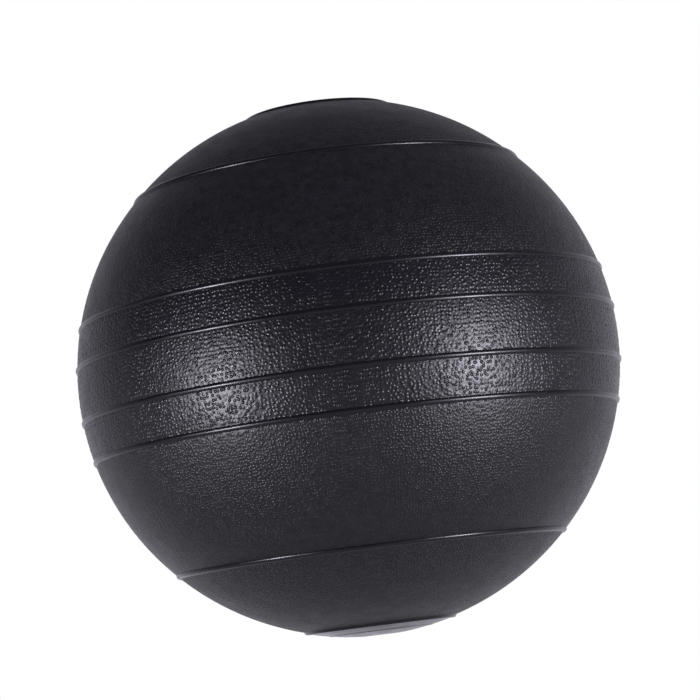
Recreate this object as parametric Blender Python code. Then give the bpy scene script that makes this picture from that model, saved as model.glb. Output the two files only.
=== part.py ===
"""Slam-type medicine ball: a thick moulded shell, part-filled with sand and plugged at its top pole.

Units are metres, +Z is up and runs along the mould axis, through both smooth polar discs. The origin
is the middle of the small flat patch on which the heavy, soft ball rests. Every piece is turned about
that axis, and latitudes are in degrees from the equator, positive towards the plug.
"""

import math

import bmesh
import bpy

# The ball's outside
BALL_RADIUS = 0.115        # at the equator, on the plain surface between the ribs
POLAR_SCALE = 0.99         # height over width: the soft shell sits slightly flat
REST_PATCH_RADIUS = 0.008  # where the ball's weight flattens it against the floor
SEGMENTS = 48

# The relief that is moulded into the shell. Latitudes and half widths are in degrees.
GRIP_RIB_LATITUDES = (5.7, 14.4)
OUTER_RIB_LATITUDE = 44.5
RIB_HALF_WIDTH = 0.7
RIB_HEIGHT = 0.0007
PARTING_HALF_WIDTH = 0.4
PARTING_HEIGHT = 0.0002
POLE_RING_LATITUDE = 74.2
POLE_RING_HALF_WIDTH = 0.75
POLE_RING_HEIGHT = 0.0009
POLE_DISC_HEIGHT = 0.0004  # the smooth discs inside the rings stand this proud
PLAIN_STEP = 8.0           # largest step along the plain surface, in degrees

# The shell's inside and its filling neck
WALL = 0.008
INNER_STEP = 14.0
SEAT_RADIUS = 0.0093       # counterbore for the plug's flange
SEAT_DEPTH = 0.0025
NECK_RADIUS = 0.0063
BOSS_RADIUS = 0.012        # thickened rim round the neck, inside the shell
BOSS_DEPTH = 0.013         # from the outer surface to the boss's inner end

# The plug and the valve in it
GAP = 0.0003               # between pieces that touch
PLUG_TIP_LENGTH = 0.0055   # of the plug beyond the boss
PLUG_BEAD = 0.0014         # the retaining bead's reach over the boss
PLUG_CHAMFER = 0.0004
VALVE_HEAD_RADIUS = 0.0045
VALVE_HEAD_DEPTH = 0.0013
VALVE_STEM_RADIUS = 0.0030
VALVE_BULB_RADIUS = 0.0044
VALVE_BULB_LENGTH = 0.006
NEEDLE_HOLE_RADIUS = 0.0009
NEEDLE_HOLE_DEPTH = 0.009
SMALL_SEGMENTS = 24

# The filling
SAND_LEVEL = 0.121         # above the floor, at the shell's inner wall
SAND_MOUND = 0.004         # how far the middle heaps above that
SAND_SEGMENTS = 32
SAND_STEP = 15.0

DISC_RADIUS = BALL_RADIUS + POLE_DISC_HEIGHT
INNER_RADIUS = BALL_RADIUS - WALL


def depth_on_ellipse(radius, distance):
    """Height above the centre of a ball of this radius, at a distance from the axis."""
    return POLAR_SCALE * math.sqrt(radius ** 2 - distance ** 2)


CENTRE_Z = depth_on_ellipse(DISC_RADIUS, REST_PATCH_RADIUS)
RIM_Z = CENTRE_Z + depth_on_ellipse(DISC_RADIUS, SEAT_RADIUS)
BOSS_Z = RIM_Z - BOSS_DEPTH


def clear_scene():
    """Start from an empty scene."""
    for thing in list(bpy.data.objects):
        bpy.data.objects.remove(thing, do_unlink=True)


def make_material(name, color, roughness):
    """A plain Principled material."""
    material = bpy.data.materials.new(name)
    material.use_nodes = True
    shader = material.node_tree.nodes["Principled BSDF"]
    shader.inputs["Base Color"].default_value = (*color, 1.0)
    shader.inputs["Roughness"].default_value = roughness
    return material


def turned(name, profile, segments, material, closed=False):
    """Spin a profile of (distance from axis, height) points about +Z into one closed solid."""
    mesh = bpy.data.meshes.new(name)
    work = bmesh.new()
    points = [work.verts.new((distance, 0.0, height)) for distance, height in profile]
    pairs = list(zip(points, points[1:]))
    if closed:
        pairs.append((points[-1], points[0]))
    edges = [work.edges.new(pair) for pair in pairs]
    bmesh.ops.spin(work, geom=points + edges, cent=(0, 0, 0), axis=(0, 0, 1),
                   angle=math.tau, steps=segments, use_merge=True)
    bmesh.ops.remove_doubles(work, verts=work.verts, dist=1e-6)
    bmesh.ops.recalc_face_normals(work, faces=work.faces)
    work.to_mesh(mesh)
    work.free()
    mesh.shade_smooth()
    mesh.set_sharp_from_angle(angle=math.radians(30))
    mesh.materials.append(material)
    piece = bpy.data.objects.new(name, mesh)
    bpy.context.scene.collection.objects.link(piece)
    return piece


def on_ball(radius, latitude):
    """The profile point at a latitude on a slightly flattened ball of this radius."""
    angle = math.radians(latitude)
    return radius * math.cos(angle), CENTRE_Z + POLAR_SCALE * radius * math.sin(angle)


def bead(latitude, half_width, height, base_below=0.0, base_above=0.0):
    """(latitude, height) points across a rounded bead, from its lower to its upper foot."""
    side = 0.55
    return [(latitude - half_width, base_below),
            (latitude - side * half_width, 0.75 * height),
            (latitude, height),
            (latitude + side * half_width, 0.75 * height),
            (latitude + half_width, base_above)]


def outer_relief():
    """(latitude, height) points up the shell's outside, from the rest patch to the plug's seat."""
    patch_latitude = math.degrees(math.acos(REST_PATCH_RADIUS / DISC_RADIUS))
    seat_latitude = math.degrees(math.acos(SEAT_RADIUS / DISC_RADIUS))
    points = [(-patch_latitude, POLE_DISC_HEIGHT)]
    points += bead(-POLE_RING_LATITUDE, POLE_RING_HALF_WIDTH, POLE_RING_HEIGHT,
                   base_below=POLE_DISC_HEIGHT)
    points += bead(-OUTER_RIB_LATITUDE, RIB_HALF_WIDTH, RIB_HEIGHT)
    for latitude in reversed(GRIP_RIB_LATITUDES):
        points += bead(-latitude, RIB_HALF_WIDTH, RIB_HEIGHT)
    points += [(-PARTING_HALF_WIDTH, 0.0), (0.0, PARTING_HEIGHT), (PARTING_HALF_WIDTH, 0.0)]
    for latitude in GRIP_RIB_LATITUDES + (OUTER_RIB_LATITUDE,):
        points += bead(latitude, RIB_HALF_WIDTH, RIB_HEIGHT)
    points += bead(POLE_RING_LATITUDE, POLE_RING_HALF_WIDTH, POLE_RING_HEIGHT,
                   base_above=POLE_DISC_HEIGHT)
    points.append((seat_latitude, POLE_DISC_HEIGHT))
    return fill_between(points)


def fill_between(points):
    """Add evenly spaced points wherever two neighbours are more than PLAIN_STEP apart."""
    filled = [points[0]]
    for (low, low_height), (high, high_height) in zip(points, points[1:]):
        steps = max(1, math.ceil((high - low) / PLAIN_STEP))
        for step in range(1, steps + 1):
            share = step / steps
            filled.append((low + share * (high - low),
                           low_height + share * (high_height - low_height)))
    return filled


def inner_arc(radius, top_latitude, step):
    """Profile points down the inside of a ball, from a latitude to the lower pole."""
    steps = math.ceil((top_latitude + 90.0) / step)
    arc = [on_ball(radius, top_latitude - (top_latitude + 90.0) * i / steps) for i in range(steps)]
    arc.append((0.0, CENTRE_Z - POLAR_SCALE * radius))
    return arc


def make_shell():
    """The moulded cover, with its ribs, polar discs, parting line and filling neck."""
    profile = [(0.0, 0.0)]
    profile += [on_ball(BALL_RADIUS + height, latitude) for latitude, height in outer_relief()]
    profile += [(SEAT_RADIUS, RIM_Z - SEAT_DEPTH), (NECK_RADIUS, RIM_Z - SEAT_DEPTH),
                (NECK_RADIUS, BOSS_Z), (BOSS_RADIUS, BOSS_Z)]
    boss_latitude = math.degrees(math.acos(BOSS_RADIUS / INNER_RADIUS))
    profile += inner_arc(INNER_RADIUS, boss_latitude, INNER_STEP)
    material = make_material("charcoal_moulded_cover", (0.018, 0.018, 0.021), 0.45)
    return turned("shell", profile, SEGMENTS, material)


def make_plug():
    """The bonded bung: a flange in the counterbore, a stem in the neck and a bead behind the boss."""
    flange = SEAT_RADIUS - GAP
    stem = NECK_RADIUS - GAP
    bore = VALVE_STEM_RADIUS + GAP
    head_bore = VALVE_HEAD_RADIUS + GAP
    bead_top = BOSS_Z - GAP
    tip = BOSS_Z - PLUG_TIP_LENGTH
    profile = [(bore, tip), (stem - PLUG_CHAMFER, tip), (stem + PLUG_BEAD, bead_top - PLUG_BEAD),
               (stem + PLUG_BEAD, bead_top), (stem, bead_top), (stem, RIM_Z - SEAT_DEPTH + GAP),
               (flange, RIM_Z - SEAT_DEPTH + GAP), (flange, RIM_Z - PLUG_CHAMFER),
               (flange - PLUG_CHAMFER, RIM_Z), (head_bore, RIM_Z),
               (head_bore, RIM_Z - VALVE_HEAD_DEPTH - GAP), (bore, RIM_Z - VALVE_HEAD_DEPTH - GAP)]
    material = make_material("black_plug_pvc", (0.012, 0.012, 0.014), 0.3)
    return turned("filler_plug", profile, SMALL_SEGMENTS, material, closed=True)


def make_valve():
    """The soft needle valve: a flush head, a stem through the plug and a bulb that holds it in."""
    bulb_top = BOSS_Z - PLUG_TIP_LENGTH - GAP
    head_under = RIM_Z - VALVE_HEAD_DEPTH
    profile = [(0.0, bulb_top - VALVE_BULB_LENGTH),
               (0.55 * VALVE_BULB_RADIUS, bulb_top - 0.9 * VALVE_BULB_LENGTH),
               (0.9 * VALVE_BULB_RADIUS, bulb_top - 0.6 * VALVE_BULB_LENGTH),
               (VALVE_BULB_RADIUS, bulb_top - 0.25 * VALVE_BULB_LENGTH),
               (VALVE_BULB_RADIUS, bulb_top), (VALVE_STEM_RADIUS, bulb_top),
               (VALVE_STEM_RADIUS, head_under), (VALVE_HEAD_RADIUS, head_under),
               (VALVE_HEAD_RADIUS, RIM_Z), (NEEDLE_HOLE_RADIUS, RIM_Z),
               (NEEDLE_HOLE_RADIUS, RIM_Z - NEEDLE_HOLE_DEPTH),
               (0.0, RIM_Z - NEEDLE_HOLE_DEPTH)]
    material = make_material("dark_valve_rubber", (0.03, 0.03, 0.032), 0.6)
    return turned("needle_valve", profile, SMALL_SEGMENTS, material)


def make_sand():
    """The loose filling, lying in the bottom of the shell with air above it."""
    radius = INNER_RADIUS - GAP
    level = (SAND_LEVEL - CENTRE_Z) / (POLAR_SCALE * radius)
    profile = [(0.0, SAND_LEVEL + SAND_MOUND)]
    edge_latitude = math.degrees(math.asin(level))
    edge_distance = on_ball(radius, edge_latitude)[0]
    profile.append((0.5 * edge_distance, SAND_LEVEL + 0.75 * SAND_MOUND))
    profile += inner_arc(radius, edge_latitude, SAND_STEP)
    material = make_material("washed_sand", (0.36, 0.29, 0.2), 0.9)
    return turned("sand_filling", profile, SAND_SEGMENTS, material)


clear_scene()
make_shell()
make_plug()
make_valve()
make_sand()
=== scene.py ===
"""Looks of the slam-type medicine ball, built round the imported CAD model.

The CAD shell is replaced by seven closed bands with the same profile, which meet in the plain strips
beside the ribs. Their ribs, grip studs, web lines, pebbles and polar discs are real relief, and the
materials add the finer grain. Latitudes, longitudes and sizes on the ball are in degrees, and other
lengths in metres.
"""

import math

import bpy
import numpy as np
from mathutils import Matrix, Vector


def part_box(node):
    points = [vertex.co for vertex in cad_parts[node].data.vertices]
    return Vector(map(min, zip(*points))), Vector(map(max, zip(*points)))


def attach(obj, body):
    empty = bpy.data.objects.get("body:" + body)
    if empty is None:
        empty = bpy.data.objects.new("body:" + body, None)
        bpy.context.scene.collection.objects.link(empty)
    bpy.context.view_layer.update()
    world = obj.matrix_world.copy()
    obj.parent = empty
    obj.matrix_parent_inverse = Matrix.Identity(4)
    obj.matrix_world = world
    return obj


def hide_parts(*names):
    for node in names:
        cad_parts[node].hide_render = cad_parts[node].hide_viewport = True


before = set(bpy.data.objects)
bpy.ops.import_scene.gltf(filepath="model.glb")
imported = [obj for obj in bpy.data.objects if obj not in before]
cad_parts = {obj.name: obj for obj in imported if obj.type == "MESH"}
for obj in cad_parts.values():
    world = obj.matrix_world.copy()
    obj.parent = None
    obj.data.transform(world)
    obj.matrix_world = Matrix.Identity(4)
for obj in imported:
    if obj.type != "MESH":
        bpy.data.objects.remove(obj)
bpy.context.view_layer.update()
bpy.context.scene.view_settings.view_transform = "Standard"

# --- Ribs, polar discs and parting line ----------------------------------------------------------------
GRIP_RIBS = (5.7, 14.4)             # latitudes of the grip belt's inner ribs and of those at its edges
OUTER_RIB = 44.5
RIB_HALF_WIDTH = 0.6
RIB_HEIGHT = 0.00075
BEAD_ROUNDING = 0.65                # exponent of a bead's section, where 0.5 is half an ellipse
RING_LATITUDE = 74.2
RING_HALF_WIDTH = 0.6
RING_HEIGHT = 0.0009
DISC_HEIGHT = 0.0004
CIRCLE_LATITUDE = 79.3              # the faint circle inside the ring
CIRCLE_HALF_WIDTH = 0.35
CIRCLE_HEIGHT = 0.00015
PARTING_HALF_WIDTH = 0.18
PARTING_HEIGHT = 0.00005
CAD_PARTING_HEIGHT = 0.0002         # how far the CAD shell's parting line stands out
TEXTURE_MARGIN = (0.05, 0.4)        # textures rise between these distances from a rib's foot

# --- Textures ------------------------------------------------------------------------------------------
SEED = 7
STUD_COLUMNS = 120                  # round the ball
STUD_ROW_PITCH = 1.9
STUD_RADII = (0.58, 0.48)           # of the main studs and of those between them
STUD_HEIGHTS = (0.00015, 0.00010)
STUD_TOP = 0.05                     # the flat top's share of the radius
STUD_SCATTER = 0.16                 # range of a stud's place, both ways
STUD_RADIUS_SPREAD = (0.9, 1.1)
STUD_HEIGHT_SPREAD = (0.7, 1.3)
STUD_TABLE_ROWS = 64
WEB_HALF_WIDTH = 0.17
WEB_HEIGHT = 0.00005
PEBBLE_PITCH = 1.05
PEBBLE_TURN = 340.0                 # under 360, so columns are a little wider apart than rows
PEBBLE_RADII = (0.4, 0.7)
PEBBLE_HEIGHTS = (0.00005, 0.00009)
PEBBLE_SCATTER = 0.6                # range of a pebble's place, as a share of the pitch
PEBBLE_TABLE_SHAPE = (256, 512)
FEWEST_PEBBLES = 8                  # in a row
PEBBLE_FADE = 0.8                   # share of their height that pebbles lose on the way to the outer rib
PEBBLE_FADE_SPAN = (OUTER_RIB - 12, OUTER_RIB + 1)

# --- The ball's main sizes, from the frame -------------------------------------------------------------
SHELL_LOW, SHELL_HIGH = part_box("shell")
PLUG_LOW, PLUG_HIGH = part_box("filler_plug")
BALL_RADIUS = (SHELL_HIGH.x - SHELL_LOW.x) / 2 - CAD_PARTING_HEIGHT
DISC_RADIUS = BALL_RADIUS + DISC_HEIGHT
CENTRE_Z = (SHELL_HIGH.z + SHELL_LOW.z) / 2
BALL_CENTRE = Vector((0, 0, CENTRE_Z))
REST_PATCH_RADIUS = 0.008
POLAR_SCALE = (CENTRE_Z - SHELL_LOW.z) / math.sqrt(DISC_RADIUS ** 2 - REST_PATCH_RADIUS ** 2)
GAP = 0.0003
WALL = 0.008

# The filling neck, as in the CAD shell apart from its rounded rim
SEAT_DEPTH = 0.0025
NECK_RADIUS = 0.0063
BOSS_RADIUS = 0.012
BOSS_DEPTH = 0.013
RIM_ROUNDING = 0.0003

# --- The skin's bands and their mesh -------------------------------------------------------------------
# The bands meet at these latitudes, in the plain strips beside the ribs
BELT_SEAM = GRIP_RIBS[0] - 0.9
ZONE_SEAM = GRIP_RIBS[1] + 0.9
CAP_SEAM = OUTER_RIB + 0.9
GRIP_COLUMNS = 1440
GRIP_STEP = 0.2
MIDDLE_STEP = 0.18
ZONE_COLUMNS = 900
ZONE_STEP = 0.36
CAP_COLUMNS = 480
CAP_STEP = 0.45
LEDGE_STEP = 0.1                    # across the polar ring and circle
RING_TO_CIRCLE_STEP = 0.5
DISC_STEP = 0.6
DISC_MIDDLE = 83.5                  # latitude from which the disc needs the fewest columns
BEAD_STEPS = 14
INNER_COLUMNS = 60
BAND_WALL_STEP = 3.0
CAP_WALL_STEP = 4.0
LAST_WALL_LATITUDE = 88.0
SHARP_ANGLE = 60
SMOOTH, GRAIN = range(2)            # material slots of a band


# --- Relief --------------------------------------------------------------------------------------------
def smoothstep(low, high, value):
    share = np.clip((value - low) / (high - low), 0, 1)
    return share * share * (3 - 2 * share)


def between(ends, share):
    """The value at this share of the way between two ends."""
    return ends[0] + (ends[1] - ends[0]) * share


def bead(distance, half_width, height):
    """A moulded bead, about half round."""
    reach = np.clip(np.abs(distance) / half_width, 0, 1)
    return height * (1 - reach ** 2) ** BEAD_ROUNDING


def noise_table(name, shape):
    """Repeatable random numbers from 0 to 1 for one purpose."""
    return np.random.default_rng(SEED + sum(ord(letter) for letter in name)).random(shape)


STUD_TABLE = noise_table("studs", (2, STUD_TABLE_ROWS, STUD_COLUMNS, 4))
PEBBLE_TABLE = noise_table("pebbles", (*PEBBLE_TABLE_SHAPE, 4))


def studs(latitude, longitude, order):
    """Low round studs in rows and columns. Order 1 sits in the middle of the cells of order 0."""
    pitch = 360.0 / STUD_COLUMNS
    shift = 0.5 * order
    column = np.round(longitude / pitch - shift).astype(int)
    row = np.round(latitude / STUD_ROW_PITCH - shift).astype(int)
    chance = STUD_TABLE[order, row % STUD_TABLE_ROWS, column % STUD_COLUMNS]
    across = longitude - (column + shift) * pitch + STUD_SCATTER * (chance[..., 0] - 0.5)
    along = latitude - (row + shift) * STUD_ROW_PITCH + STUD_SCATTER * (chance[..., 1] - 0.5)
    radius = STUD_RADII[order] * between(STUD_RADIUS_SPREAD, chance[..., 2])
    height = STUD_HEIGHTS[order] * between(STUD_HEIGHT_SPREAD, chance[..., 3])
    reach = np.hypot(across * np.cos(np.radians(latitude)), along) / radius
    return height * (1 - smoothstep(STUD_TOP, 1, reach))


def web(latitude, longitude):
    """Thin crossing ridges that frame each stud in a diamond."""
    turn = longitude * STUD_COLUMNS / 360.0
    rise = latitude / STUD_ROW_PITCH
    spread = math.hypot(STUD_COLUMNS / 360.0, 1 / STUD_ROW_PITCH)
    height = np.zeros_like(latitude)
    for way in (1, -1):
        off = np.abs((turn + way * rise) % 1.0 - 0.5) / spread
        height = np.maximum(height, WEB_HEIGHT * np.clip(1 - (off / WEB_HALF_WIDTH) ** 2, 0, 1))
    return height


def belt_texture(latitude, longitude):
    """The grip: studs and the web between them."""
    return np.maximum(np.maximum(studs(latitude, longitude, 0), studs(latitude, longitude, 1)),
                      web(latitude, longitude))


def pebbles(latitude, longitude):
    """Uneven low domes in wandering rows that keep their size towards the poles."""
    row_near = np.round(latitude / PEBBLE_PITCH).astype(int)
    best = np.zeros_like(latitude)
    for row_step in (-1, 0, 1):
        row = row_near + row_step
        turn = PEBBLE_TURN * np.cos(np.radians(row * PEBBLE_PITCH))
        columns = np.maximum(np.round(turn / PEBBLE_PITCH).astype(int), FEWEST_PEBBLES)
        width = 360.0 / columns
        shift = 0.5 * (row % 2)
        column_near = np.round(longitude / width - shift).astype(int)
        for column_step in (-1, 0, 1):
            column = column_near + column_step
            chance = PEBBLE_TABLE[row % PEBBLE_TABLE_SHAPE[0], column % columns % PEBBLE_TABLE_SHAPE[1]]
            across = longitude - (column + shift + PEBBLE_SCATTER * (chance[..., 0] - 0.5)) * width
            along = latitude - (row + PEBBLE_SCATTER * (chance[..., 1] - 0.5)) * PEBBLE_PITCH
            radius = between(PEBBLE_RADII, chance[..., 2])
            height = between(PEBBLE_HEIGHTS, chance[..., 3])
            reach = np.hypot(across * np.cos(np.radians(latitude)), along) / radius
            best = np.maximum(best, height * np.clip(1 - reach ** 2, 0, 1))
    return best


def relief(latitude, longitude):
    """Height of the moulded surface above the plain ball."""
    size = np.abs(latitude)
    height = bead(size, PARTING_HALF_WIDTH, PARTING_HEIGHT)
    nearest = np.abs(size - RING_LATITUDE)
    for rib in (*GRIP_RIBS, OUTER_RIB):
        height += bead(size - rib, RIB_HALF_WIDTH, RIB_HEIGHT)
        nearest = np.minimum(nearest, np.abs(size - rib))
    margin = smoothstep(RIB_HALF_WIDTH + TEXTURE_MARGIN[0], RIB_HALF_WIDTH + TEXTURE_MARGIN[1], nearest)
    belt = size < GRIP_RIBS[1]
    if belt.any():
        height[belt] += belt_texture(latitude[belt], longitude[belt]) * margin[belt]
    grain = ~belt & (size < RING_LATITUDE)
    if grain.any():
        fade = 1 - PEBBLE_FADE * smoothstep(*PEBBLE_FADE_SPAN, size[grain])
        height[grain] += pebbles(latitude[grain], longitude[grain]) * margin[grain] * fade
    height += bead(size - RING_LATITUDE, RING_HALF_WIDTH, RING_HEIGHT - DISC_HEIGHT)
    height += DISC_HEIGHT * smoothstep(RING_LATITUDE - RING_HALF_WIDTH, RING_LATITUDE, size)
    height += bead(size - CIRCLE_LATITUDE, CIRCLE_HALF_WIDTH, CIRCLE_HEIGHT)
    return height


# --- Lathe ---------------------------------------------------------------------------------------------
def ball_points(height, latitude, longitude):
    """World points at a height above the plain ball."""
    lat, lon = np.radians(latitude), np.radians(longitude)
    radius = BALL_RADIUS + height
    return np.stack([radius * np.cos(lat) * np.cos(lon),
                     radius * np.cos(lat) * np.sin(lon),
                     CENTRE_Z + POLAR_SCALE * radius * np.sin(lat)], axis=-1)


def longitudes(columns):
    return np.arange(columns) * 360.0 / columns


def surface_ring(latitude, columns):
    """A ring on the moulded surface."""
    lat = np.full(columns, float(latitude))
    return ball_points(relief(lat, longitudes(columns)), lat, longitudes(columns))


def wall_ring(latitude):
    """A ring on the shell's inner wall."""
    lat = np.full(INNER_COLUMNS, float(latitude))
    return ball_points(np.full(INNER_COLUMNS, -WALL), lat, longitudes(INNER_COLUMNS))


def level_ring(radius, height):
    """A level circle."""
    angle = np.radians(longitudes(INNER_COLUMNS))
    return np.stack([radius * np.cos(angle), radius * np.sin(angle), np.full(INNER_COLUMNS, height)],
                    axis=-1)


def axis_point(height):
    return np.array([[0.0, 0.0, height]])


def stitch(low, high):
    """Faces from one ring up to the next. One count is a multiple of the other, or 1 on the axis."""
    if len(low) == len(high):
        return np.stack([low, np.roll(low, -1), np.roll(high, -1), high], axis=1).tolist()
    if len(low) > len(high):
        return [face[::-1] for face in stitch(high, low)]
    ratio = len(high) // len(low)
    following = np.roll(high, -1).tolist()
    faces = [(low[i // ratio], following[i], high[i]) for i in range(len(high))]
    if len(low) > 1:
        corners = [high[(i + 1) * ratio % len(high)] for i in range(len(low))]
        faces += list(zip(low.tolist(), np.roll(low, -1).tolist(), corners))
    return faces


class Lathe:
    """Stitches each ring to the one before it. Each stretch has a material."""

    def __init__(self):
        self.points = []
        self.rings = []
        self.faces = []
        self.slots = []

    def ring(self, points, slot=SMOOTH):
        start = sum(len(ring) for ring in self.rings)
        indices = np.arange(start, start + len(points))
        self.points.append(points)
        if self.rings:
            self.join(self.rings[-1], indices, slot)
        self.rings.append(indices)

    def join(self, low, high, slot):
        made = stitch(low, high)
        self.faces.extend(made)
        self.slots.extend([slot] * len(made))

    def piece(self, name, materials, loop):
        """The finished object. A loop also joins the last ring to the first."""
        if loop:
            self.join(self.rings[-1], self.rings[0], SMOOTH)
        mesh = bpy.data.meshes.new(name)
        mesh.from_pydata(np.concatenate(self.points).tolist(), [], self.faces)
        for material in materials:
            mesh.materials.append(material)
        mesh.polygons.foreach_set("material_index", np.array(self.slots, np.int32))
        mesh.shade_smooth()
        mesh.set_sharp_from_angle(angle=math.radians(SHARP_ANGLE))
        piece = bpy.data.objects.new(name, mesh)
        bpy.context.scene.collection.objects.link(piece)
        return piece


# --- The skin ------------------------------------------------------------------------------------------
def steps(low, high, step):
    """Latitudes from low to high, without low, evenly spaced at about this step."""
    count = max(1, round((high - low) / step))
    return [low + (high - low) * (i + 1) / count for i in range(count)]


def over_bead(latitude, half_width):
    """Latitudes across a bead, without its lower foot, closest together at its steep feet."""
    angles = np.linspace(-90, 90, BEAD_STEPS + 1)[1:]
    return [latitude + half_width * math.sin(math.radians(angle)) for angle in angles]


def around(low, high, ribs, step):
    """(latitude, finish of the stretch below) of the rings of a band with these ribs."""
    rings = []
    start = low
    for rib in ribs:
        rings += [(lat, GRAIN) for lat in steps(start, rib - RIB_HALF_WIDTH, step)]
        rings += [(lat, SMOOTH) for lat in over_bead(rib, RIB_HALF_WIDTH)]
        start = rib + RIB_HALF_WIDTH
    return rings + [(lat, GRAIN) for lat in steps(start, high, step)]


def band(name, low, high, ribs, columns, step, materials):
    """A closed band of shell between two latitudes."""
    lathe = Lathe()
    lathe.ring(surface_ring(low, columns))
    for latitude, finish in around(low, high, ribs, step):
        lathe.ring(surface_ring(latitude, columns), finish)
    for latitude in [high] + steps(high, low, BAND_WALL_STEP):
        lathe.ring(wall_ring(latitude))
    return lathe.piece(name, materials, loop=True)


def cap_stations(edge):
    """(latitude, columns, finish of the stretch below) from the cap's seam up to its polar edge."""
    half, quarter = CAP_COLUMNS // 2, CAP_COLUMNS // 4
    stations = [(CAP_SEAM, CAP_COLUMNS, GRAIN)]
    for high, step, columns, finish in (
            (RING_LATITUDE - RING_HALF_WIDTH, CAP_STEP, CAP_COLUMNS, GRAIN),
            (RING_LATITUDE + RING_HALF_WIDTH, LEDGE_STEP, half, SMOOTH),
            (CIRCLE_LATITUDE - CIRCLE_HALF_WIDTH, RING_TO_CIRCLE_STEP, half, SMOOTH),
            (CIRCLE_LATITUDE + CIRCLE_HALF_WIDTH, LEDGE_STEP, half, SMOOTH),
            (DISC_MIDDLE, DISC_STEP, quarter, SMOOTH),
            (edge, DISC_STEP, INNER_COLUMNS, SMOOTH)):
        stations += [(latitude, columns, finish) for latitude in steps(stations[-1][0], high, step)]
    return stations


def lower_cap(name, materials):
    """The bottom of the shell, with its polar ring and the flat on which the ball rests."""
    lathe = Lathe()
    lathe.ring(axis_point(SHELL_LOW.z))
    lathe.ring(level_ring(REST_PATCH_RADIUS / 2, SHELL_LOW.z))
    finish = SMOOTH
    flat_edge = math.degrees(math.acos(REST_PATCH_RADIUS / DISC_RADIUS))
    for latitude, columns, own_finish in reversed(cap_stations(flat_edge)):
        lathe.ring(surface_ring(-latitude, columns), finish)
        finish = own_finish
    for latitude in [-CAP_SEAM] + steps(-CAP_SEAM, -LAST_WALL_LATITUDE, CAP_WALL_STEP):
        lathe.ring(wall_ring(latitude))
    lathe.ring(axis_point(CENTRE_Z - POLAR_SCALE * (BALL_RADIUS - WALL)))
    return lathe.piece(name, materials, loop=False)


def upper_cap(name, materials):
    """The top of the shell, with its polar ring, the plug's counterbore, the neck and its boss."""
    lathe = Lathe()
    seat_radius = PLUG_HIGH.x + GAP
    rim_edge = math.degrees(math.acos((seat_radius + RIM_ROUNDING) / DISC_RADIUS))
    for latitude, columns, finish in cap_stations(rim_edge):
        lathe.ring(surface_ring(latitude, columns), finish)
    rim_z = SHELL_HIGH.z
    seat_z = rim_z - SEAT_DEPTH
    boss_z = rim_z - BOSS_DEPTH
    for radius, height in ((seat_radius, rim_z - RIM_ROUNDING), (seat_radius, seat_z), (NECK_RADIUS, seat_z),
                           (NECK_RADIUS, boss_z), (BOSS_RADIUS, boss_z)):
        lathe.ring(level_ring(radius, height))
    boss_root = math.degrees(math.acos(BOSS_RADIUS / (BALL_RADIUS - WALL)))
    for latitude in [boss_root] + steps(boss_root, CAP_SEAM, CAP_WALL_STEP):
        lathe.ring(wall_ring(latitude))
    return lathe.piece(name, materials, loop=True)


def make_skin():
    """The seven bands of the shell, from the bottom up."""
    smooth = smooth_pvc()
    belt_finish = [smooth, grip_pvc()]
    zone_finish = [smooth, grained_pvc("pebbled_pvc", gloss=(0.36, 0.44), grain_size=0.0014,
                                       grain_depth=0.000175, skin_depth=0.00003)]
    cap_finish = [smooth, grained_pvc("polar_pvc", gloss=(0.40, 0.50), grain_size=0.0018,
                                      grain_depth=0.00034, skin_depth=0.00006)]
    lower_grip_ribs = [-rib for rib in reversed(GRIP_RIBS)]
    return [
        lower_cap("shell_lower_cap", cap_finish),
        band("shell_lower_zone", -CAP_SEAM, -ZONE_SEAM, [-OUTER_RIB], ZONE_COLUMNS, ZONE_STEP, zone_finish),
        band("shell_lower_grip", -ZONE_SEAM, -BELT_SEAM, lower_grip_ribs, GRIP_COLUMNS, GRIP_STEP,
             belt_finish),
        band("shell_middle_grip", -BELT_SEAM, BELT_SEAM, [], GRIP_COLUMNS, MIDDLE_STEP, belt_finish),
        band("shell_upper_grip", BELT_SEAM, ZONE_SEAM, GRIP_RIBS, GRIP_COLUMNS, GRIP_STEP, belt_finish),
        band("shell_upper_zone", ZONE_SEAM, CAP_SEAM, [OUTER_RIB], ZONE_COLUMNS, ZONE_STEP, zone_finish),
        upper_cap("shell_upper_cap", cap_finish),
    ]


# --- Shader nodes --------------------------------------------------------------------------------------
POINT_TOP = 0.04                    # radius of a point's flat top, in cells
POINT_SCATTER = 0.75                # how far the cells stray from a square lattice
NOISE_MIDDLE = (0.3, 0.7)           # most of a noise's values lie between these


class NodeTree:
    """Shader nodes that are added and linked by short calls."""

    def __init__(self, tree):
        self.tree = tree

    def link(self, source, target):
        self.tree.links.new(source, target)

    def add(self, kind, links=(), **values):
        """A node with these input values, and links from (output, input name)."""
        node = self.tree.nodes.new("ShaderNode" + kind)
        for socket, value in values.items():
            node.inputs[socket.replace("_", " ")].default_value = value
        for source, socket in links:
            self.link(source, node.inputs[socket])
        return node

    def calculate(self, operation, *operands):
        """A Math node's result for these links and numbers."""
        node = self.add("Math")
        node.operation = operation
        for operand, socket in zip(operands, node.inputs):
            if isinstance(operand, float):
                socket.default_value = operand
            else:
                self.link(operand, socket)
        return node.outputs["Value"]

    def ramp(self, source, low, high, from_value, to_value, shape="LINEAR"):
        """A value that runs from one to another while the source runs from low to high."""
        node = self.add("MapRange", [(source, "Value")], From_Min=low, From_Max=high, To_Min=from_value,
                        To_Max=to_value)
        node.interpolation_type = shape
        return node.outputs["Result"]

    def choose(self, switch, shader, other):
        """The first shader where the switch is 0, and the other where it is 1."""
        mix = self.add("MixShader", [(switch, "Fac")])
        self.link(shader, mix.inputs[1])
        self.link(other, mix.inputs[2])
        return mix.outputs["Shader"]


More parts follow.
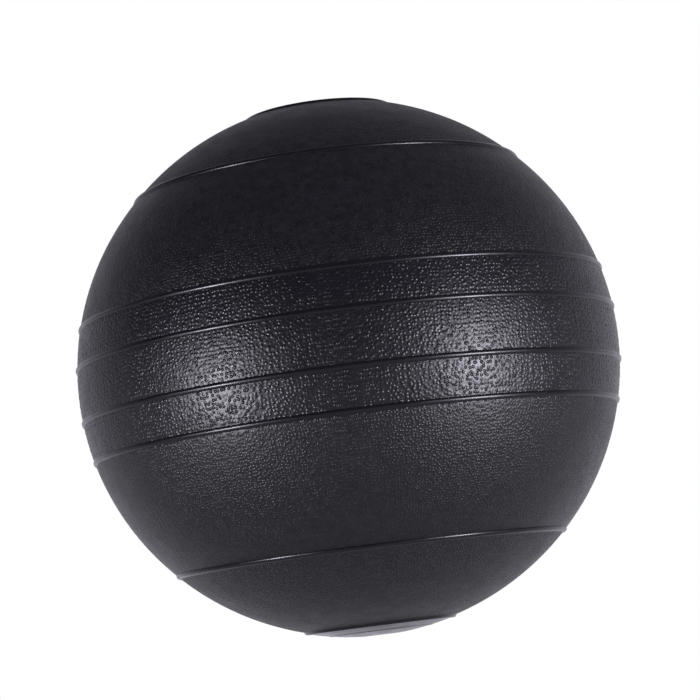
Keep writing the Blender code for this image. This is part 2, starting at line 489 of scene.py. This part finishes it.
class Material(NodeTree):
    """A material on a Principled shader, with the shader's constants set here."""

    def __init__(self, name, **constants):
        self.material = bpy.data.materials.new(name)
        self.material.use_nodes = True
        super().__init__(self.material.node_tree)
        self.shader = self.tree.nodes["Principled BSDF"]
        for socket, value in constants.items():
            self.shader.inputs[socket.replace("_", " ")].default_value = value

    def place(self):
        return self.add("TexCoord").outputs["Object"]

    def noise(self, size, detail, roughness=0.55):
        """Noise from 0 to 1, with blobs of about this size in metres."""
        node = self.add("TexNoise", [(self.place(), "Vector")], Scale=1 / size, Detail=detail,
                        Roughness=roughness)
        return node.outputs["Fac"]

    def cells(self, size):
        """Distance from the middles of cells of about this size in metres."""
        node = self.add("TexVoronoi", [(self.place(), "Vector")], Scale=1 / size)
        return node.outputs["Distance"]

    def points(self, size, reach, uneven):
        """Round points on cells of about this size in metres, spread evenly over the skin.

        Their heights run over the last two numbers of uneven while a cell's random number runs over the
        first two. The skin is unrolled to a plane by a Mercator projection, with the cut at the back.
        """
        axes = self.add("SeparateXYZ", [(self.place(), "Vector")]).outputs
        turn = self.calculate("ARCTAN2", axes["X"], self.calculate("MULTIPLY", axes["Y"], -1.0))
        sine = self.ramp(axes["Z"], SHELL_LOW.z, SHELL_HIGH.z, -1.0, 1.0)
        over, under = self.calculate("ADD", sine, 1.0), self.calculate("MULTIPLY_ADD", sine, -1.0, 1.0)
        rise = self.calculate("LOGARITHM", self.calculate("DIVIDE", over, under), math.exp(2))
        plane = self.add("CombineXYZ", [(turn, "X"), (rise, "Y")])
        node = self.add("TexVoronoi", [(plane.outputs["Vector"], "Vector")], Scale=BALL_RADIUS / size,
                        Randomness=POINT_SCATTER)
        node.voronoi_dimensions = "2D"
        domes = self.ramp(node.outputs["Distance"], POINT_TOP, reach, 1.0, 0.0, "SMOOTHSTEP")
        return self.calculate("MULTIPLY", domes, self.ramp(node.outputs["Color"], *uneven))

    def wander(self, size, detail, low, high):
        """A value that wanders from low to high over patches of about this size in metres."""
        return self.ramp(self.noise(size, detail), *NOISE_MIDDLE, low, high)

    def colours(self, source, dark, light, low=0.35, high=0.7):
        """Dark where the source is under low, light where it is over high, and mixed between."""
        node = self.add("ValToRGB", [(source, "Fac")])
        for element, position, colour in zip(node.color_ramp.elements, (low, high), (dark, light)):
            element.position = position
            element.color = (*colour, 1)
        return node.outputs["Color"]

    def bump(self, source, depth, below=None):
        """Relief of this depth in metres, on top of another relief."""
        node = self.add("Bump", [(source, "Height")], Distance=depth)
        if below is not None:
            self.link(below, node.inputs["Normal"])
        return node.outputs["Normal"]

    def finish(self, colour, roughness, normal):
        self.link(colour, self.shader.inputs["Base Color"])
        self.link(roughness, self.shader.inputs["Roughness"])
        self.link(normal, self.shader.inputs["Normal"])
        return self.material


# --- Materials -----------------------------------------------------------------------------------------
POLYMER_IOR = 1.5
QUARTZ_IOR = 1.5
PAINTED_SHEEN = (0.0145, 0.0138, 0.0205)    # painted sheen: the light end of the grained PVC's mottle, lighter patches that stand in for the grain's patchy reflections


def shade(level):
    """The PVC's charcoal, with its cold violet cast, at one lightness."""
    return (1.1 * level, level, 2.1 * level)


def grip_pvc():
    """The belt's PVC: charcoal with an uneven sheen, fine raised points and a finer skin."""
    nodes = Material("grip_pvc", IOR=POLYMER_IOR)
    colour = nodes.colours(nodes.noise(size=0.025, detail=5), dark=shade(0.0045), light=shade(0.0065))
    roughness = nodes.wander(size=0.009, detail=6, low=0.30, high=0.38)
    points = nodes.points(size=0.0016, reach=0.52, uneven=(0.15, 0.9, 0.25, 1.35))
    normal = nodes.bump(points, depth=0.000175)
    normal = nodes.bump(nodes.noise(size=0.0009, detail=3), depth=0.00003, below=normal)
    return nodes.finish(colour, roughness, normal)


def grained_pvc(name, gloss, grain_size, grain_depth, skin_depth):
    """Moulded PVC: charcoal mottled with painted sheen in lighter patches, uneven gloss, a leather grain and
    a finer skin.
    """
    nodes = Material(name, IOR=POLYMER_IOR)
    # Painted sheen: the base colour's lighter patches stand in for the grain's patchy reflections
    colour = nodes.colours(nodes.noise(size=0.0035, detail=6, roughness=0.75), dark=shade(0.002),
                           light=PAINTED_SHEEN, low=0.36, high=0.66)
    roughness = nodes.wander(size=0.009, detail=6, low=gloss[0], high=gloss[1])
    points = nodes.points(grain_size, reach=0.5, uneven=(0.2, 0.8, 0.5, 1.1))
    normal = nodes.bump(points, grain_depth)
    normal = nodes.bump(nodes.noise(size=0.0009, detail=3), skin_depth, below=normal)
    return nodes.finish(colour, roughness, normal)


def smooth_pvc():
    """The ribs and polar discs: polished mould marks, with a faint orange peel."""
    nodes = Material("smooth_black_pvc", IOR=POLYMER_IOR)
    colour = nodes.colours(nodes.noise(size=0.03, detail=5), dark=shade(0.004), light=shade(0.006))
    roughness = nodes.wander(size=0.008, detail=6, low=0.2, high=0.32)
    return nodes.finish(colour, roughness, nodes.bump(nodes.noise(size=0.002, detail=3), depth=0.00002))


def valve_rubber():
    """Matt rubber, a little greyer than the PVC."""
    nodes = Material("valve_rubber", IOR=POLYMER_IOR)
    colour = nodes.colours(nodes.noise(size=0.002, detail=4), dark=shade(0.02), light=shade(0.032))
    roughness = nodes.wander(size=0.001, detail=4, low=0.5, high=0.65)
    return nodes.finish(colour, roughness, nodes.bump(nodes.noise(size=0.0004, detail=3), depth=0.00003))


def washed_sand():
    """Grains under a millimetre across, pale in the middle, with painted shade darkening the gaps between
    them.
    """
    nodes = Material("washed_sand", IOR=QUARTZ_IOR)
    grains = nodes.cells(size=0.0008)
    # Painted shade: the colour darkens towards each grain's edge, as shade in the gaps between grains
    colour = nodes.colours(grains, dark=(0.42, 0.33, 0.22), light=(0.2, 0.15, 0.1), low=0.1, high=0.8)
    roughness = nodes.wander(size=0.004, detail=4, low=0.8, high=0.95)
    return nodes.finish(colour, roughness, nodes.bump(grains, depth=0.0003))


# --- Camera --------------------------------------------------------------------------------------------
CAMERA_ELEVATION = -6.0
CAMERA_DISTANCE = 10.0 * BALL_RADIUS
CAMERA_ROLL = -7.1
CAMERA_LENS = 138.8
CAMERA_SHIFT = (0.0019, 0.0256)


def add_camera():
    """A long lens just under the level of the floor, leaning with the ball's axis."""
    elevation, roll = math.radians(CAMERA_ELEVATION), math.radians(CAMERA_ROLL)
    back = Vector((0, -math.cos(elevation), math.sin(elevation)))
    level_up = back.cross(Vector((1, 0, 0)))
    right = Vector((math.cos(roll), 0, 0)) + math.sin(roll) * level_up
    up = back.cross(right)
    data = bpy.data.cameras.new("camera")
    data.lens = CAMERA_LENS
    data.clip_start = 0.01
    data.shift_x, data.shift_y = CAMERA_SHIFT
    camera = bpy.data.objects.new("camera", data)
    bpy.context.scene.collection.objects.link(camera)
    camera.matrix_world = (Matrix.Translation(BALL_CENTRE + back * CAMERA_DISTANCE)
                           @ Matrix((right, up, back)).transposed().to_4x4())
    bpy.context.scene.camera = camera


# --- Light ---------------------------------------------------------------------------------------------
LIGHT_TINT = (1.02, 1.0, 1.125)

# Name, azimuth, elevation, distance, width, height and radiance. Azimuth 0 is the camera's side, and
# positive to its right. On each side a small bright core sits in front of a wide dim box.
SOFTBOXES = (("left_softbox_core", -51.5, -7, 0.8, 0.15, 0.24, 30.0),
             ("left_softbox", -53, -3, 0.8, 0.6, 0.52, 0.95),
             ("right_softbox_core", 51, -8, 0.8, 0.20, 0.27, 23.0),
             ("right_softbox", 51, -3, 0.8, 0.6, 0.52, 1.2))
TABLE_LIGHT = ("table_light", 0, 89.9, 1.4, 1.6, 1.6, 1.8)

# The studio's brightness in reflections
CEILING_GLOW = 0.11
FLOOR_GLOW = 0.37
GLOW_HEIGHTS = (-0.5, 0.35)         # upward share of the direction, from the floor's to the ceiling's glow
BACK_GLOW = 0.51
BACK_DEPTHS = (0.1, 0.9)            # share of the direction away from the camera
BACK_STEEPNESS_LOSS = 0.85          # how fast the back's glow fades up and down
SIDE_GLOW = 0.055
SIDE_REACH = 0.8


def softbox(name, azimuth, elevation, distance, width, height, radiance):
    """A rectangular soft light that faces the ball."""
    turn, rise = math.radians(azimuth), math.radians(elevation)
    way = Vector((math.sin(turn) * math.cos(rise), -math.cos(turn) * math.cos(rise), math.sin(rise)))
    data = bpy.data.lights.new(name, "AREA")
    data.shape = "RECTANGLE"
    data.size, data.size_y = width, height
    data.energy = radiance * math.pi * width * height
    data.color = LIGHT_TINT
    light = bpy.data.objects.new(name, data)
    light.location = BALL_CENTRE + way * distance
    light.rotation_euler = way.to_track_quat("Z", "Y").to_euler()
    light.visible_camera = False
    bpy.context.scene.collection.objects.link(light)
    return light


def add_lights():
    """The soft boxes make the highlights, and the table light the ball's shadow on the floor."""
    for box in SOFTBOXES:
        softbox(*box).visible_diffuse = False
    softbox(*TABLE_LIGHT).visible_glossy = False


def add_world():
    """White to the camera. As a light, dim above, and brighter below, behind the ball and to the right."""
    world = bpy.data.worlds.new("studio")
    bpy.context.scene.world = world
    world.use_nodes = True
    nodes = NodeTree(world.node_tree)
    nodes.tree.nodes.clear()
    way = nodes.add("SeparateXYZ", [(nodes.add("TexCoord").outputs["Generated"], "Vector")]).outputs
    steepness = nodes.calculate("MULTIPLY", way["Z"], way["Z"])
    depth = nodes.calculate("MULTIPLY_ADD", steepness, -BACK_STEEPNESS_LOSS, way["Y"])
    glow = nodes.calculate("ADD", nodes.ramp(way["Z"], *GLOW_HEIGHTS, FLOOR_GLOW, CEILING_GLOW),
                           nodes.ramp(depth, *BACK_DEPTHS, 0.0, BACK_GLOW))
    glow = nodes.calculate("ADD", glow, nodes.ramp(way["X"], -SIDE_REACH, SIDE_REACH, -SIDE_GLOW, SIDE_GLOW))
    lighting = nodes.add("Background", [(glow, "Strength")], Color=(*LIGHT_TINT, 1))
    seen = nodes.add("Background", Color=(1, 1, 1, 1), Strength=1.0)
    camera_ray = nodes.add("LightPath").outputs["Is Camera Ray"]
    sky = nodes.choose(camera_ray, lighting.outputs["Background"], seen.outputs["Background"])
    nodes.add("OutputWorld", [(sky, "Surface")])


# --- Floor ---------------------------------------------------------------------------------------------
FLOOR_RADIUS = 3.0
FLOOR_CORNERS = 128
FLOOR_NEAR, FLOOR_FAR = 0.3, 0.8 * FLOOR_RADIUS
FLOOR_NEAR_GLOW, FLOOR_FAR_GLOW = 0.35, 1.0


def floor_finish():
    """Pale, and glowing into the white with distance. Its underside is clear."""
    nodes = Material("pale_floor", Base_Color=(0.8, 0.8, 0.8, 1), Roughness=0.7, Specular_IOR_Level=0,
                     Emission_Color=(1, 1, 1, 1))
    far = nodes.add("VectorMath", [(nodes.place(), "Vector")])
    far.operation = "LENGTH"
    glow = nodes.ramp(far.outputs["Value"], FLOOR_NEAR, FLOOR_FAR, FLOOR_NEAR_GLOW, FLOOR_FAR_GLOW)
    nodes.link(glow, nodes.shader.inputs["Emission Strength"])
    underside = nodes.add("NewGeometry").outputs["Backfacing"]
    clear = nodes.add("BsdfTransparent").outputs["BSDF"]
    surface = nodes.choose(underside, nodes.shader.outputs["BSDF"], clear)
    nodes.link(surface, nodes.tree.nodes["Material Output"].inputs["Surface"])
    return nodes.material


def add_floor():
    """A round table under the ball, clear from below, as the camera looks up past it."""
    angles = np.radians(longitudes(FLOOR_CORNERS))
    mesh = bpy.data.meshes.new("floor")
    mesh.from_pydata([(FLOOR_RADIUS * math.cos(a), FLOOR_RADIUS * math.sin(a), 0.0) for a in angles], [],
                     [tuple(range(FLOOR_CORNERS))])
    mesh.materials.append(floor_finish())
    floor = bpy.data.objects.new("floor", mesh)
    bpy.context.scene.collection.objects.link(floor)
    floor.visible_shadow = False
    floor.visible_glossy = False


# --- Build ---------------------------------------------------------------------------------------------
for piece in make_skin():
    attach(piece, "root")
    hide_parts("shell")

for node, material in (("filler_plug", bpy.data.materials["smooth_black_pvc"]),
                       ("needle_valve", valve_rubber()),
                       ("sand_filling", washed_sand())):
    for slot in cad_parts[node].material_slots:
        slot.material = material

add_camera()
add_world()
add_floor()
add_lights()
